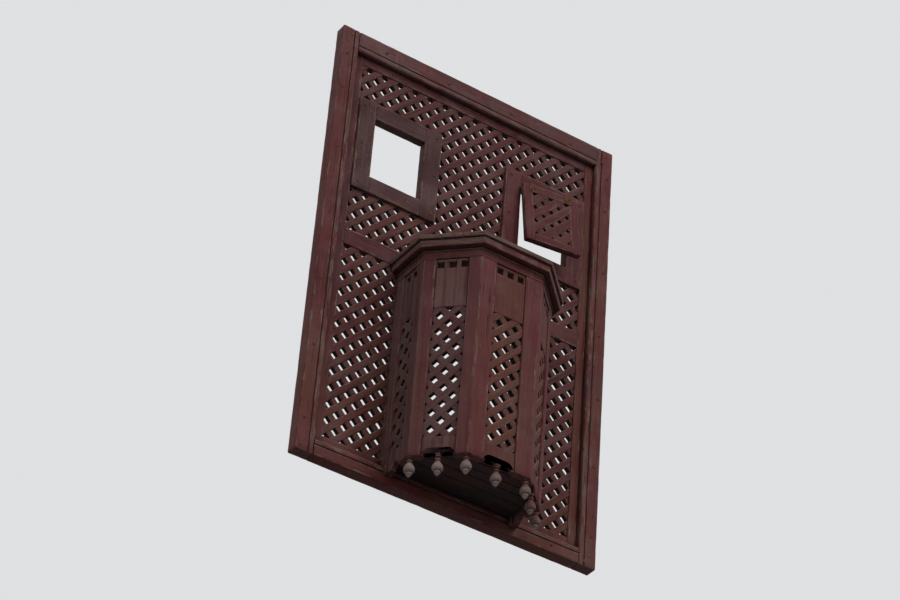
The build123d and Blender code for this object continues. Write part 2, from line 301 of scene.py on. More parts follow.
def aged_paint(name, fresh, faded, warm, grey, dust, bare, pale=0.0, bleached_end=0.0,
               grey_side=0.0, grey_cant=0.0):
    """Old paint on timber: faded, chipped off the arrises, dusty above, and painted shade in
    hollows.
    """
    m = Finish(bpy.data.materials.new(name), fresh)
    place = m.place()
    grain = m.attribute("grain", "Vector")
    relief = m.attribute("relief")
    piece = m.noise(grain, 0.8, 1)
    fibre = m.noise(m.stretch(grain, FIBRE), 1, 4)
    streak = m.noise(m.stretch(grain, STREAK), 1, 4, 0.6)
    brush = m.noise(m.stretch(grain, BRUSH), 1, 3, 0.6)
    blotch = m.noise(place, 7, 5, 0.6)
    speck = m.noise(place, 210, 3)
    high_up = m.part_of(place, "Z").rise(0.2, 1.6)
    low_down = 1 - m.part_of(place, "Z").rise(-0.1, 0.5)

    # Faded, warmer low down and greyer in patches, with dark and pale brush marks
    fading = (blotch - 0.5) * 1.9 + (streak - 0.5) * 1.6 + (piece - 0.5) * 1.6 + high_up * 0.3 + 0.3
    m.coat(faded, fading.held())
    warmth = (m.noise(m.shift(place, WARM_PATCHES), 3.6, 4) - 0.5) * 3.2 + (streak - 0.5) * 1.6
    warmth = warmth + (warm - 0.1) - high_up * 0.35 + low_down * 0.35
    m.coat(WARM_BROWN, warmth.held() * 0.85)
    greyness = (m.noise(m.shift(place, GREY_PATCHES), 6, 5, 0.65) - 0.5) * 3.4
    greyness = greyness + (brush - 0.5) * 1.4 + (grey - 0.3)
    m.coat(GREY_BROWN, greyness.held() * 0.8)
    m.coat(GRIME_AND_SHADE, ((0.5 - brush) * 1.5 + (0.5 - fibre) * 0.9).held() * 0.75)
    m.coat(UNDERCOAT, ((brush - 0.56) * 2.2 + (fibre - 0.5) * 0.5).held() * 0.5)

    # Chipped through the undercoat to the wood, most of all on arrises
    chips = m.noise(m.stretch(grain, CHIP), 1, 6, 0.68) + relief.held() * (0.2 * bare + 0.08)
    chips = chips + (speck - 0.5) * 0.14
    limit = 0.705 - 0.12 * bare
    worn = chips.rise(limit, limit + 0.015)
    m.coat(UNDERCOAT, chips.rise(limit - 0.035, limit) * 0.55)
    m.coat(m.blend(fibre.rise(0.35, 0.65), OLD_WOOD, BARE_WOOD), worn * 0.9)

    # Cracked along the grain, where the wood has dried
    split = (m.noise(m.stretch(grain, SPLIT), 1, 2) - 0.5).size()
    dried = m.noise(m.shift(place, DRY_PATCHES), 8, 2).rise(0.5, 0.6)
    crack = (1 - split.rise(0.002, 0.011)) * dried
    m.coat(GRIME_AND_SHADE, crack * 0.8)

    # Dusty where it faces up, and in runs
    run = m.noise(m.stretch(place, RUN), 1, 4).rise(0.54, 0.72)
    run = run * m.noise(place, 4.3, 2).rise(0.42, 0.6)
    settled = m.facing("Z").rise(0.15, 0.95) * (0.5 + dust * 0.5)
    settled = settled * (0.3 + blotch * 1.5 - (streak + fibre - 1) * 1.1)
    dusty = (settled + run * dust * 0.9 + (blotch + speck * 0.5).rise(0.7, 1.0) * dust).held()
    m.coat(DUST, dusty * 0.7)

    # What only some of the pieces have
    if pale:
        bleached = m.noise(m.shift(place, PALE_PATCHES), 13, 5, 0.7) + (fibre - 0.5) * 0.25
        m.coat(BLEACH_AND_HIGHLIGHT, bleached.rise(0.66, 0.74) * pale)
    # Painted highlight: turned pieces lighten towards their lower ends and towards the left
    if bleached_end:
        reach = m.attribute("end") - m.part_of(place, "X") + (speck - 0.5) * 0.6
        m.coat(BLEACH_AND_HIGHLIGHT, (reach + (blotch - 0.5) * 0.5).rise(0.2, 0.85) * bleached_end)
    leftward = 0 - m.facing("X")
    # Painted shade: faces that look left take a dull grey-brown in streaks
    if grey_side:
        left_shade_tone = m.blend(streak.rise(0.3, 0.7), LEFT_SHADE_DARK, LEFT_SHADE_PALE)
        m.coat(left_shade_tone, leftward.rise(0.55, 0.9) * grey_side)
    # Painted shade: faces that look half left, on the left cants, take a grey cast in streaks and
    # patches
    if grey_cant:
        cant = leftward.rise(0.45, 0.65) * (1 - leftward.rise(0.78, 0.9))
        uneven = streak.rise(0.35, 0.6) * 0.75 + blotch.rise(0.42, 0.62) * 0.45
        m.coat(CANT_SHADE_GREY, cant * (uneven + (fibre - 0.5) * 0.6).held() * grey_cant)

    # Bare towards the room, and darkened in corners, holes and grooves as painted shade
    room_side = m.blend(fibre.rise(0.3, 0.7), ROOM_SIDE_DARK, ROOM_SIDE_PALE)
    m.coat(room_side, m.facing("Y").rise(0.5, 0.9) * 0.85)
    painted_shade = (1 - m.hollow(0.03)).rise(0.2, 0.9) * 0.9 + (0 - relief).held() * 0.75
    m.coat(GRIME_AND_SHADE, painted_shade.held())

    height = fibre * 0.35 + brush * 0.3 + speck * 0.15 - worn * 0.55 - crack * 0.9
    roughness = 0.74 + worn * 0.15 + dusty * 0.1
    return m.finish(Roughness=roughness, Normal=m.bump(height, 0.6, 0.0013))


def rusty_iron(name):
    """Hand-made iron, brown with rust."""
    m = Finish(bpy.data.materials.new(name), tone(46, 34, 32))
    place = m.place()
    rust = m.noise(place, 240, 4)
    pits = m.noise(place, 900, 2)
    m.coat(tone(98, 56, 38), rust.rise(0.35, 0.65))
    # Painted shade where the iron meets the wood and in its hollows
    m.coat(GRIME_AND_SHADE, (1 - m.hollow(0.01)).rise(0.3, 0.9) * 0.6)
    relief = m.bump(rust + pits * 0.5, 0.6, 0.0006)
    return m.finish(Metallic=0.35, Roughness=0.6 + rust * 0.3, Normal=relief)


# Each paint, fresh and faded, how warm, grey, dusty and bare it is, and what else it has
PAINTS = {
    "frame": (MAROON, ROSE, 0.6, 0.25, 0.35, 0.35, {}),
    "head rail": (MAROON, ROSE, 0.1, 0.75, 0.6, 0.35, {}),
    "inner frame": ((64, 26, 28), (76, 40, 41), 0.3, 0.15, 0.3, 0.35, {}),
    "warm inner frame": ((72, 27, 25), (84, 41, 37), 0.8, 0.05, 0.25, 0.35, {}),
    "lattice": ((68, 29, 28), (80, 46, 44), 0.4, 0.3, 0.3, 0.4, {"pale": 0.6}),
    "left hatch": ((56, 30, 31), (68, 43, 44), 0.1, 0.4, 0.35, 0.35, {}),
    "right hatch": ((70, 28, 30), (80, 41, 43), 0.2, 0.1, 0.3, 0.35, {}),
    "bay post": ((79, 33, 37), (94, 50, 53), 0.25, 0.1, 0.2, 0.35, {"grey_side": 0.6}),
    "bay roof": ((62, 36, 35), (92, 71, 67), 0.3, 0.7, 0.6, 1.1, {}),
    "bay apron": ((69, 32, 32), (77, 41, 41), 0.3, 0.1, 0.2, 0.35,
                  {"grey_side": 0.7, "grey_cant": 0.4}),
    # Painted light: the cornice paint is lighter than the posts', lifting the shade under its
    # overhang
    "bay cornice": ((82, 39, 40), (98, 61, 62), 0.2, 0.35, 0.6, 0.35, {"grey_side": 0.4}),
    "bay board": ((74, 35, 33), (84, 50, 45), 0.6, 0.2, 0.25, 0.35,
                  {"grey_side": 0.7, "grey_cant": 0.45}),
    # Painted shade: the lattices of the left side and left cant are greyer than the others, as
    # their shaded faces
    "bay left side lattice in painted shade": ((70, 50, 47), (88, 68, 64), 0.1, 0.7, 0.3, 0.35, {}),
    "bay left cant lattice in painted shade": ((72, 40, 40), (88, 62, 60), 0.1, 0.55, 0.3, 0.45, {}),
    "bay lattice": ((82, 38, 33), (96, 55, 48), 0.55, 0.25, 0.25, 0.45, {}),
    # Painted shade: the floor boards are near black, standing for the deep shade under the bay
    "bay floor in painted shade": ((12, 5, 6), (20, 11, 11), 0.0, 0.0, 0.05, 0.05, {}),
    # The drops carry a painted highlight on their lower ends, stronger on the left
    "drop": (MAROON, ROSE, 0.3, 0.3, 0.4, 0.5, {"bleached_end": 0.7}),
}
PAINT = {
    kind: aged_paint(f"{kind} paint", tone(*fresh), tone(*faded), *amounts, **more)
    for kind, (fresh, faded, *amounts, more) in PAINTS.items()
}
IRON = rusty_iron("rusty iron")


def linked(name, data):
    """A new object, in the scene."""
    made = bpy.data.objects.new(name, data)
    bpy.context.scene.collection.objects.link(made)
    return made


class Shape:
    """The points and faces of a piece, with the grain and relief that its finish reads.

    Grain is a point's place in its own timber, with the fibres along Z. Relief is 1 on arrises
    and below 0 in grooves. End runs from 0 to 1 along a turned piece.
    """

    def __init__(self):
        self.points, self.grain, self.relief, self.end, self.faces = [], [], [], [], []

    def add(self, point, grain, relief, end=0.0):
        self.points.append(point)
        self.grain.extend(grain)
        self.relief.append(relief)
        self.end.append(end)

    def skin(self, rings):
        """Closes rings of points, each with its grain and relief, into a capped skin."""
        first, count = len(self.points), len(rings[0])
        last = first + (len(rings) - 1) * count
        for ring in rings:
            for point in ring:
                self.add(*point)
        for low in range(first, last, count):
            for i in range(count):
                j = (i + 1) % count
                self.faces.append((low + i, low + j, low + count + j, low + count + i))
        self.faces.append(tuple(range(first + count - 1, first - 1, -1)))
        self.faces.append(tuple(range(last, last + count)))

    def piece(self, name, finish, *nodes, slot=None, smooth=40):
        """The finished object, which stands for the frame's nodes and rides with them."""
        mesh = bpy.data.meshes.new(name)
        mesh.from_pydata(self.points, [], self.faces)
        for key, kind, field, values in (
            ("grain", "FLOAT_VECTOR", "vector", self.grain),
            ("relief", "FLOAT", "value", self.relief),
            ("end", "FLOAT", "value", self.end),
        ):
            mesh.attributes.new(key, kind, "POINT").data.foreach_set(field, values)
        edit = bmesh.new()
        edit.from_mesh(mesh)
        bmesh.ops.recalc_face_normals(edit, faces=edit.faces)
        edit.to_mesh(mesh)
        edit.free()
        mesh.shade_smooth()
        mesh.set_sharp_from_angle(angle=radians(smooth))
        mesh.materials.append(finish)
        made = linked(name, mesh)
        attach(made, "root")
        if nodes:
            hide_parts(*nodes)


def axes(origin, across, into, along):
    """A placement: X across a piece, Y into it from its street face and Z along it."""
    return Matrix((*zip(across, into, along, origin), (0, 0, 0, 1)))


def standing(origin):
    return axes(origin, RIGHT, INTO, UP)


def lying(origin):
    return axes(origin, UP, INTO, RIGHT)


def flat_at(height):
    """A placement for flat boards, with their outline in X and Y of the frame."""
    return axes((0, 0, height), RIGHT, UP, INTO)


def facing_plane(origin, across):
    """A placement on an upright face, with X along the face, Y into the wall and Z up."""
    across, up = Vector(across), Vector(UP)
    return axes(origin, across, up.cross(across), up)


def box_of(node):
    """Lowest and highest corners of a frame node, and its size."""
    low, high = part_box(node)
    return low, high, high - low


def stray(reach):
    return random.uniform(-reach, reach)


def own_grain():
    """Each timber's own place in the grain, so that no two look alike."""
    return Vector((stray(9), stray(9), stray(9)))


def ripple(point, often, offset=Vector((0, 0, 0))):
    """Smooth unevenness at a point, from about -1 to 1."""
    return noise.noise(Vector([c * n for c, n in zip(point, often)]) + offset)


def turns_left(points):
    """Whether an outline runs anticlockwise."""
    return sum(a.x * b.y - b.x * a.y for a, b in zip(points, points[1:] + points[:1])) > 0


def inset(outline, distance):
    """The outline moved inwards on all sides."""
    side = 1 if turns_left(outline) else -1
    moved = []
    for i, point in enumerate(outline):
        before = (point - outline[i - 1]).normalized()
        after = (outline[(i + 1) % len(outline)] - point).normalized()
        normal = Vector((-before.y - after.y, before.x + after.x))
        if normal.length < 1e-6:
            moved.append(point.copy())
            continue
        normal.normalize()
        spread = max(0.4, normal.dot(Vector((-before.y, before.x))))
        moved.append(point + normal * (side * distance / spread))
    return moved


def section(corners):
    """Outline of a timber's section with softened corners, as (point, relief) pairs.

    Each corner is (x, y, radius). Relief is below 0 where a corner is the inside of a groove.
    """
    points = [Vector(c[:2]) for c in corners]
    left = turns_left(points)
    outline = []
    for i, (corner, (_, _, radius)) in enumerate(zip(points, corners)):
        before = points[i - 1] - corner
        after = points[(i + 1) % len(points)] - corner
        relief = -1.0 if (before.cross(after) > 0) == left else 1.0
        longest = after.length * CORNER_SHARE
        reach = min(radius, before.length * CORNER_SHARE, longest)
        start = corner + before.normalized() * reach
        stop = corner + after.normalized() * reach
        steps = 4 if radius > ROUNDED else 2
        for k in range(steps + 1):
            t = k / steps
            arc = start * (1 - t) ** 2 + corner * (2 * t * (1 - t)) + stop * t ** 2
            outline.append((arc, relief))
        gap = after.length - reach - min(corners[(i + 1) % len(corners)][2], longest)
        if gap > 3 * SUPPORT:
            inner = gap - 2 * SUPPORT
            count = max(1, round(inner / FLAT_STEP))
            for k in range(count + 1):
                along = reach + SUPPORT + inner * k / count
                outline.append((corner + after.normalized() * along, 0.0))
    return outline


def rectangle(width, depth, front=SOFT_ARRIS):
    """Corners of a squared section whose street face lies at Y = 0 and back at its depth."""
    return [(0, depth, BACK_ARRIS), (0, 0, front), (width, 0, front), (width, depth, BACK_ARRIS)]


def timber(shape, place, corners, length, wear=1.0):
    """A length of timber along Z with the given section, its surface a little uneven."""
    outline = section(corners)
    middle = sum((p for p, _ in outline), Vector((0, 0))) / len(outline)
    offset = own_grain()
    count = max(2, ceil(length / STATION_STEP))
    between = [length * k / count for k in range(1, count)]
    rings = []
    for z in [0.0, ARRIS, *between, length - ARRIS, length]:
        is_end = z in (0.0, length)
        ring = []
        for flat, relief in outline:
            outward = (flat - middle).normalized()
            if is_end:
                flat = flat - outward * ARRIS * END_SLOPE
            local = Vector((flat.x, flat.y, z))
            wave = ripple((local.x, local.y, z), TIMBER_WAVES, offset)
            lump = ripple((local.x, local.y, z), TIMBER_LUMPS, offset * 2)
            move = wave * FLAT_WEAR - max(0.0, relief) * max(0.0, lump) * EDGE_WEAR * wear
            local = local + Vector((outward.x, outward.y, 0)) * move
            ring.append((place @ local, local + offset, 1.0 if is_end else relief))
        rings.append(ring)
    shape.skin(rings)


def board(shape, place, outline, thickness, lengthwise=False, arris=ARRIS):
    """A board of any outline in X and Z, its street face at Y = 0 and its grain along Z or X."""
    offset = own_grain()
    slim = inset(outline, arris)
    inner = inset(outline, min(SUPPORT, thickness * SUPPORT_SHARE))
    levels = (
        (0.0, inner, 0.0), (0.0, slim, 1.0), (arris, outline, 1.0), (thickness / 2, outline, 0.2),
        (thickness - arris, outline, 1.0), (thickness, slim, 1.0), (thickness, inner, 0.0),
    )
    rings = []
    for depth, line, relief in levels:
        ring = []
        for p in line:
            grain = (p.y, depth, p.x) if lengthwise else (p.x, depth, p.y)
            ring.append((place @ Vector((p.x, depth, p.y)), Vector(grain) + offset, relief))
        rings.append(ring)
    shape.skin(rings)


def lathe(shape, place, profile, sides):
    """A turned piece round the placement's Z axis from (distance, radius, relief) stations."""
    offset = own_grain()
    first, last = profile[0][0], profile[-1][0]
    turns = [(cos(2 * pi * i / sides), sin(2 * pi * i / sides)) for i in range(sides)]
    rings = []
    for z, radius, relief in profile:
        end = (z - first) / (last - first)
        ring = [Vector((radius * x, radius * y, z)) for x, y in turns]
        rings.append([(place @ p, p + offset, relief, end) for p in ring])
    shape.skin(rings)


# Half a lath's section, as shares of its width and depth and relief; the negative relief paints
# shade on its sides towards the back
HALF_LATH = [
    (0.0, 1.0, 0.3), (0.0, 0.96, -1.0), (0.0, 0.6, -1.0), (0.0, 0.3, -0.7), (0.0, 0.12, 0.5),
    (0.03, 0.05, 1.0), (0.08, 0.0, 1.0), (0.22, 0.0, 0.1), (0.5, 0.0, 0.0),
]
LATH_SECTION = HALF_LATH + [(1 - x, y, relief) for x, y, relief in reversed(HALF_LATH[:-1])]


def lath(shape, place, start, end, depth, thickness, lath_width):
    """One flat lath of the lattice, between two points of the field."""
    run = (end - start).normalized()
    length = (end - start).length
    across = Vector(INTO).cross(run)
    width = lath_width * random.uniform(*LATH_CUT)
    lean = stray(LATH_LEAN)
    offset = own_grain()
    front = depth + random.uniform(0, LATH_STAND)
    count = max(2, ceil(length / LATH_STEP))
    rings = []
    for k in range(count + 1):
        along = length * k / count
        ring = []
        for x, y, relief in LATH_SECTION:
            back = depth + thickness - front
            local = Vector(((x - 0.5) * width + lean, front + back * y, along))
            wave = ripple((local.x, local.y, along), LATH_WAVES, offset)
            lump = ripple((local.x, local.y, along), LATH_LUMPS, offset)
            edge = max(0.0, relief)
            local.x *= 1 + LATH_SWELL * wave - LATH_CHIP * max(0.0, lump) * edge
            local.y += max(0.0, lump + 0.1) * edge * LATH_WEAR + wave * LATH_WAVE
            flat = start + across * local.x + Vector((0, local.y, 0)) + run * along
            ring.append((place @ flat, local + offset, relief))
        rings.append(ring)
    shape.skin(rings)


def left_over(span, taken):
    """The parts of a span that lie outside another."""
    (low, high), (first, last) = span, taken
    parts = [(low, min(high, first)), (max(low, last), high)]
    return [part for part in parts if part[1] - part[0] > LATH_WIDTH]


def lathed(name, kind, nodes, place, width, height, blocks=(), lath_width=LATH_WIDTH):
    """Flat laths halved together on both diagonals; those that rise to the right stand proud.

    Blocks are frames that stand in the field, as (low x, high x, low z, high z) from its middle.
    """
    shape = Shape()
    half_step = LATTICE_PITCH / sqrt(2)
    columns = ceil(width / (2 * half_step)) + 1
    rows = ceil(height / (2 * half_step)) + 1
    half_width, half_height = width / 2 + LATH_SEAT, height / 2 + LATH_SEAT
    front = -LATTICE_THICKNESS / 2
    reach = columns + rows + 2
    for rise, depth in ((-1, front + LATH_STEP_BACK), (1, front)):
        thickness = LATTICE_THICKNESS / 2 - depth
        for k in range(-reach, reach + 1):
            if (k + columns + rows) % 2 == 0:
                continue
            level = k * half_step + stray(LATH_STRAY)
            ends = sorted(((-half_height - level) * rise, (half_height - level) * rise))
            spans = [(max(-half_width, ends[0]), min(half_width, ends[1]))]
            for x0, x1, z0, z1 in blocks:
                ends = sorted(((z0 + LATH_SEAT - level) * rise, (z1 - LATH_SEAT - level) * rise))
                taken = (max(x0 + LATH_SEAT, ends[0]), min(x1 - LATH_SEAT, ends[1]))
                if taken[1] > taken[0]:
                    spans = [part for span in spans for part in left_over(span, taken)]
            for low, high in spans:
                if high - low < LATH_WIDTH:
                    continue
                start = Vector((low, 0, level + rise * low))
                end = Vector((high, 0, level + rise * high))
                lath(shape, place, start, end, depth, thickness, lath_width)
    shape.piece(f"lathed_{name}", PAINT[kind], *nodes)


def aged(node, kind, *timbers):
    """Replaces a node with timbers, each as (placement, section, length)."""
    shape = Shape()
    for place, corners, length in timbers:
        timber(shape, place, corners, length)
    shape.piece(f"aged_{node}", PAINT[kind], node)


# Outer frame, with a bead along its inner edge and a groove beside the bead
FRAME_ARRIS = 0.003
FRAME_BEAD = 0.009
GROOVE_IN, GROOVE_OUT = 0.017, 0.022
GROOVE_DEPTH = 0.0028
GROOVE_ARRIS = 0.001


def frame_section(width, depth):
    inner, outer, arris = width - GROOVE_IN, width - GROOVE_OUT, GROOVE_ARRIS
    return [
        (0, depth, BACK_ARRIS), (0, 0, FRAME_ARRIS),
        (outer, 0, arris), (outer + arris, GROOVE_DEPTH, arris),
        (inner - arris, GROOVE_DEPTH, arris), (inner, 0, arris),
        (width, 0, FRAME_BEAD), (width, depth, BACK_ARRIS),
    ]


def outer_frame():
    for node, side in (("stile_left", 1), ("stile_right", -1)):
        low, high, size = box_of(node)
        place = axes((low.x if side > 0 else high.x, low.y, low.z), (side, 0, 0), INTO, UP)
        aged(node, "frame", (place, frame_section(size.x, size.y), size.z))
    inner_left, inner_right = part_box("stile_left")[1].x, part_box("stile_right")[0].x
    for node, outward, kind in (("head_rail", 1, "head rail"), ("bottom_rail", -1, "frame")):
        low, high, size = box_of(node)
        outer = high.z if outward > 0 else low.z
        place = axes((inner_left, low.y, outer), (0, 0, -outward), INTO, RIGHT)
        aged(node, kind, (place, frame_section(size.z, size.y), inner_right - inner_left))


def inner_frame():
    """Squared timbers, each with its grain along its longer side."""
    for node in ("sash_stile_left", "sash_stile_right", "sash_sill_left", "sash_sill_right",
                 "sash_head", "mid_rail", "bay_jamb_left", "bay_jamb_right"):
        kind = "warm inner frame" if node == "sash_stile_right" else "inner frame"
        low, _, size = box_of(node)
        if size.z > size.x:
            aged(node, kind, (standing(low), rectangle(size.x, size.y), size.z))
        else:
            aged(node, kind, (lying(low), rectangle(size.z, size.y), size.x))


def wall_lattices():
    for node in ("lattice_left", "lattice_right"):
        low, high, size = box_of(node)
        lathed(node, "lattice", [node], facing_plane((low + high) / 2, RIGHT), size.x, size.z)
    upper = ("lattice_top", "lattice_waist", "lattice_between_hatches")
    low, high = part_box("lattice_waist")[0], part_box("lattice_top")[1]
    middle, size = (low + high) / 2, high - low
    blocks = []
    for side in ("left", "right"):
        block_low, block_high = (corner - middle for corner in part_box(f"hatch_stiles_{side}"))
        blocks.append((block_low.x, block_high.x, block_low.z, block_high.z))
    lathed("upper_lattice", "lattice", upper, facing_plane(middle, RIGHT), size.x, size.z, blocks)


def hatches():
    for side in ("left", "right"):
        stiles, rails, kind = f"hatch_stiles_{side}", f"hatch_rails_{side}", f"{side} hatch"
        low, high, size = box_of(stiles)
        inner_low, inner_high, inner_size = box_of(rails)
        width = inner_low.x - low.x
        corners = rectangle(width, size.y)
        aged(stiles, kind, *((standing((x, low.y, low.z)), corners, size.z)
                             for x in (low.x, inner_high.x)))
        aged(rails, kind, *((lying((inner_low.x, low.y, z)), corners, inner_size.x)
                            for z in (low.z, high.z - width)))


def flap_placement():
    """How the flap hangs from its top left corner, and its width and height."""
    opening_low, opening_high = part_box("hatch_rails_right")
    stiles_low, stiles_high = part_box("hatch_stiles_right")
    board_width = opening_low.x - stiles_low.x
    level = Vector((cos(FLAP_TWIST), -sin(FLAP_TWIST), 0))
    outward = Vector((-sin(FLAP_TWIST), -cos(FLAP_TWIST), 0)) * cos(FLAP_OPEN)
    outward = outward + Vector((0, 0, sin(FLAP_OPEN)))
    across = level * cos(FLAP_SAG) + outward.cross(level) * sin(FLAP_SAG)
    back_corner = Vector((
        opening_low.x - FLAP_LAP,
        stiles_low.y - FLAP_STANDOFF,
        stiles_high.z - board_width + FLAP_LAP,
    ))
    street_corner = back_corner + outward * FLAP_THICKNESS
    width = opening_high.x - opening_low.x + 2 * FLAP_LAP
    height = stiles_high.z - stiles_low.z - 2 * board_width + 2 * FLAP_LAP
    return axes(street_corner, across, -outward, outward.cross(across)), width, height


def flap():
    place, width, height = flap_placement()
    inner_width, inner_height = width - 2 * FLAP_BAR, height - 2 * FLAP_BAR
    corners = rectangle(FLAP_BAR, FLAP_THICKNESS, FLAP_ARRIS)
    aged("flap_stiles", "right hatch", *((place @ standing((x, 0, -height)), corners, height)
                                         for x in (0, width - FLAP_BAR)))
    aged("flap_rails", "right hatch", *((place @ lying((FLAP_BAR, 0, z)), corners, inner_width)
                                        for z in (-FLAP_BAR, -height)))
    middle = place @ standing((width / 2, FLAP_THICKNESS / 2, -height / 2))
    lathed("flap_lattice", "lattice", ["flap_lattice"], middle, inner_width, inner_height,
           lath_width=FLAP_LATH_WIDTH)


# Round heads of iron and wood, as (distance out, share of the radius, relief)
NAIL_RADIUS = 0.0055
NAIL_SPREAD = (0.85, 1.15)
NAIL_HEAD = ((-0.0012, 0.95, 0.5), (0.0006, 1, 1), (0.0018, 0.72, 0.5), (0.0023, 0.3, 0.5))
NAIL_SIDES = 8
PEG_RADIUS = 0.006
PEG_SPREAD = (0.9, 1.1)
PEG_SIDES = 14
PEG_END = ((-0.002, 1, -1), (0, 1, -1), (0.0004, 1, 1), (0.0009, 0.88, 0.6), (0.001, 0.4, 0))


def round_head(shape, place, radius, profile, sides):
    """A round head that stands out from the street face of a placement."""
    stations = [(z, radius * share, relief) for z, share, relief in profile]
    lathe(shape, place @ axes((0, 0, 0), RIGHT, UP, OUT), stations, sides)


def nail(shape, place):
    round_head(shape, place, NAIL_RADIUS * random.uniform(*NAIL_SPREAD), NAIL_HEAD, NAIL_SIDES)


# Hinges of the flap: three knuckles on a leaf, and a staple into the hatch frame
HINGE_LENGTH = 0.030
HINGE_INSET = 0.034
HINGE_RADIUS = 0.005
HINGE_GAP = 0.0003
KNUCKLE_END = HINGE_RADIUS * 0.8
KNUCKLE_ARRIS = 0.001
KNUCKLE_SIDES = 16
LEAF_LOW, LEAF_HIGH = -0.034, 0.004
LEAF_THICKNESS = 0.002
LEAF_PROUD = 0.0012
LEAF_ARRIS = 0.0004
LEAF_NAILS = ((0.008, -0.024), (0.022, -0.012))
STAPLE_WIDTH, STAPLE_HEIGHT = 0.009, 0.005


def hinges():
    place, width, _ = flap_placement()
    wall_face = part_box("hatch_rails_right")[0].y
    third = HINGE_LENGTH / 3
    shape = Shape()
    for middle in (HINGE_INSET, width - HINGE_INSET):
        x0 = middle - HINGE_LENGTH / 2
        x1 = x0 + HINGE_LENGTH
        origin = (x0, FLAP_THICKNESS - HINGE_RADIUS, HINGE_RADIUS + HINGE_GAP)
        axis = place @ axes(origin, INTO, UP, RIGHT)
        for start in (0, third, 2 * third):
            stop = start + third
            knuckle = [
                (start + HINGE_GAP, KNUCKLE_END, 1), (start + KNUCKLE_ARRIS, HINGE_RADIUS, 1),
                (stop - KNUCKLE_ARRIS, HINGE_RADIUS, 1), (stop - HINGE_GAP, KNUCKLE_END, 1),
            ]
            lathe(shape, axis, knuckle, KNUCKLE_SIDES)
        leaf = [Vector((x0, LEAF_LOW)), Vector((x1, LEAF_LOW)),
                Vector((x1, LEAF_HIGH)), Vector((x0, LEAF_HIGH))]
        front = place @ standing((0, -LEAF_PROUD, 0))
        board(shape, front, leaf, LEAF_THICKNESS, arris=LEAF_ARRIS)
        for dx, z in LEAF_NAILS:
            nail(shape, place @ standing((x0 + dx, -LEAF_PROUD, z)))
        centre = axis @ Vector((0, 0, HINGE_LENGTH / 2))
        corner = (centre.x - STAPLE_WIDTH / 2, centre.y, centre.z - STAPLE_HEIGHT / 2)
        staple = rectangle(STAPLE_WIDTH, wall_face - centre.y, KNUCKLE_ARRIS)
        timber(shape, standing(corner), staple, STAPLE_HEIGHT, wear=0)
    shape.piece("forged_flap_hinges", IRON, "flap_hinges")


# Plan of the bay, read from its posts
post_low, post_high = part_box("bay_post_left_front")
_, wall_high, wall_size = box_of("bay_post_right_wall")
BAY_WALL = wall_size.x
POST_FACE = wall_size.y
BAY_X = wall_high.x
BAY_ROOT_Y = wall_high.y
BAY_FRONT_Y = post_low.y
BAY_FRONT_X = -(post_low.x + POST_FACE * sqrt(0.5))
FRONT_POST_FACE = post_high.x + BAY_FRONT_X
SHOULDER_Y = BAY_FRONT_Y + BAY_X - BAY_FRONT_X
LEFT_HALF = [(-BAY_X, BAY_ROOT_Y), (-BAY_X, SHOULDER_Y), (-BAY_FRONT_X, BAY_FRONT_Y)]
PLAN = [Vector(p) for p in LEFT_HALF + [(-x, y) for x, y in reversed(LEFT_HALF)]]
SIDES = ("left_side", "left_cant", "front", "right_cant", "right_side")
POSTS = ("left_wall", "left_corner", "left_front", "right_front", "right_corner", "right_wall")
POST_FACES = (POST_FACE, POST_FACE, FRONT_POST_FACE, POST_FACE, POST_FACE)
ALONG = [(b - a).normalized() for a, b in zip(PLAN, PLAN[1:])]
INWARD = [Vector((-u.y, u.x)) for u in ALONG]
APRON_Z = post_low.z
CORNICE_Z = post_high.z


def corner_inside(i, depth):
    """The point that lies the given depth inside corner i of the plan."""
    before, after = INWARD[max(i - 1, 0)], INWARD[min(i, len(INWARD) - 1)]
    return PLAN[i] + (before + after) * (depth / (1 + before.dot(after)))


def bay_side(i):
    """The street face between the posts of side i: a placement at its middle, and its width."""
    start = PLAN[i] + ALONG[i] * POST_FACES[i]
    end = PLAN[i + 1] - ALONG[i] * POST_FACES[i]
    return facing_plane((*(start + end) / 2, 0), (*ALONG[i], 0)), (end - start).length


BAY_SIDES = [bay_side(i) for i in range(len(SIDES))]


def post_corners(i):
    """The section of the post at corner i of the plan."""
    outline = [PLAN[i]]
    if i > 0:
        outline.insert(0, PLAN[i] - ALONG[i - 1] * POST_FACES[i - 1])
    if i < len(PLAN) - 1:
        outline.append(PLAN[i] + ALONG[i] * POST_FACES[i])
        outline.append(outline[-1] + INWARD[i] * BAY_WALL)
    outline.append(corner_inside(i, BAY_WALL))
    if i > 0:
        outline.append(outline[0] + INWARD[i - 1] * BAY_WALL)
    return [(p.x, p.y, ARRIS) for p in outline]


RAIL_GAP = 0.0006


def bay_posts():
    rail_low, rail_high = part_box("bottom_rail")
    for i, name in enumerate(POSTS):
        corners = post_corners(i)
        foot, tail = APRON_Z, []
        if "wall" in name:
            foot = rail_high.z
            cut = [(x, min(y, rail_low.y - RAIL_GAP), arris) for x, y, arris in corners]
            tail = [(standing((0, 0, APRON_Z)), cut, foot - APRON_Z + ARRIS)]
        above = (standing((0, 0, foot)), corners, CORNICE_Z - foot)
        aged(f"bay_post_{name}", "bay post", *tail, above)


def bay_lattices():
    # The left side and left cant take the greyer lattice paints of painted shade
    kinds = {"left_side": "bay left side lattice in painted shade", "left_cant": "bay left cant lattice in painted shade"}
    for name, (place, clear) in zip(SIDES, BAY_SIDES):
        node, kind = f"bay_lattice_{name}", kinds.get(name, "bay lattice")
        low, high, size = box_of(node)
        middle = place @ standing((0, BAY_WALL / 2, (low.z + high.z) / 2))
        lathed(node, kind, [node], middle, clear, size.z)


